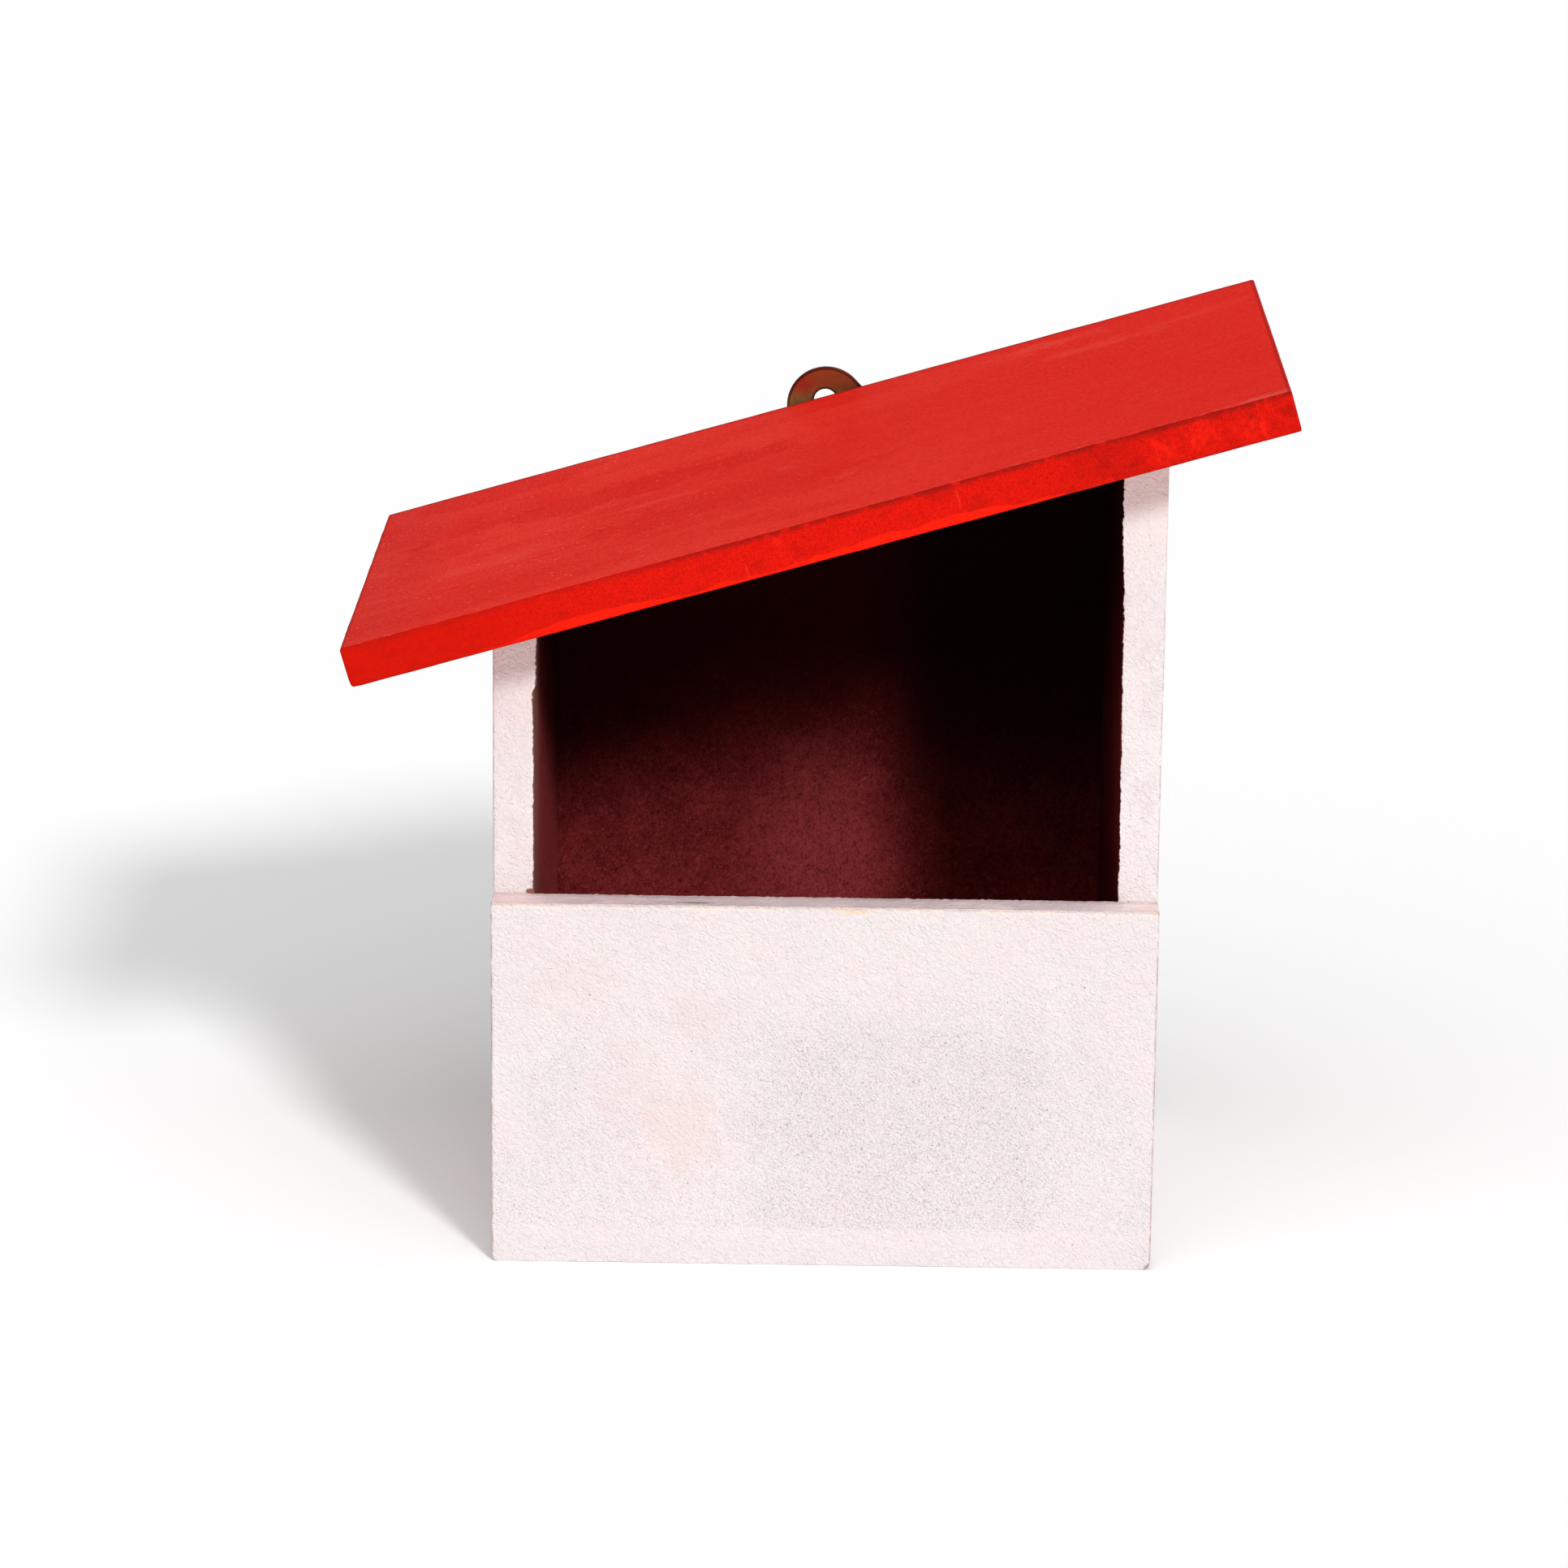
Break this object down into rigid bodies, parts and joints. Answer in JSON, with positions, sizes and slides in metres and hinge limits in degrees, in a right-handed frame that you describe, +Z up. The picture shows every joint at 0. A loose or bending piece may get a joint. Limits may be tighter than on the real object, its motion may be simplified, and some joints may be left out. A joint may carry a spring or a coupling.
{
  "type": "birdhouse",
  "caption": "Open-fronted wooden birdhouse with a single sloping, overhanging roof, painted boards and a round-ended metal strap for hanging it on a wall.",
  "frame": {"origin": "middle of the underside: the centre of the floor panel's lower face, level with the walls' bottom edges", "axes": "+X to the right seen from the front, towards the roof's high end; +Y from the front panel to the wall it hangs on; +Z up"},
  "size_m": [0.2712, 0.1815, 0.2705],
  "materials": {
    "white_paint": "matt brushed paint with a fine orange-peel texture",
    "maroon_paint": "matt stain over fibreboard",
    "red_paint": "satin brushed paint",
    "strap_brass": "tarnished brown",
    "pin_steel": "bright drawn wire"
  },
  "bodies": {
    "root": {"front_panel": "white_paint", "left_side_panel": "white_paint", "right_side_panel": "white_paint", "back_panel": "white_paint", "floor_panel": "maroon_paint", "roof_panel": "red_paint", "hanging_strap": "strap_brass", "strap_screw_upper": "strap_brass", "strap_screw_lower": "strap_brass", "front_pin_left_1": "pin_steel", "front_pin_left_2": "pin_steel", "front_pin_left_3": "pin_steel", "front_pin_right_1": "pin_steel", "front_pin_right_2": "pin_steel", "front_pin_right_3": "pin_steel", "back_pin_left_1": "pin_steel", "back_pin_left_2": "pin_steel", "back_pin_left_3": "pin_steel", "back_pin_right_1": "pin_steel", "back_pin_right_2": "pin_steel", "back_pin_right_3": "pin_steel", "roof_pin_left_1": "pin_steel", "roof_pin_left_2": "pin_steel", "roof_pin_left_3": "pin_steel", "roof_pin_right_1": "pin_steel", "roof_pin_right_2": "pin_steel", "roof_pin_right_3": "pin_steel", "floor_pin_left_1": "pin_steel", "floor_pin_left_2": "pin_steel", "floor_pin_right_1": "pin_steel", "floor_pin_right_2": "pin_steel", "floor_pin_front_1": "pin_steel", "floor_pin_front_2": "pin_steel", "floor_pin_back_1": "pin_steel", "floor_pin_back_2": "pin_steel"}
  },
  "joints": []
}
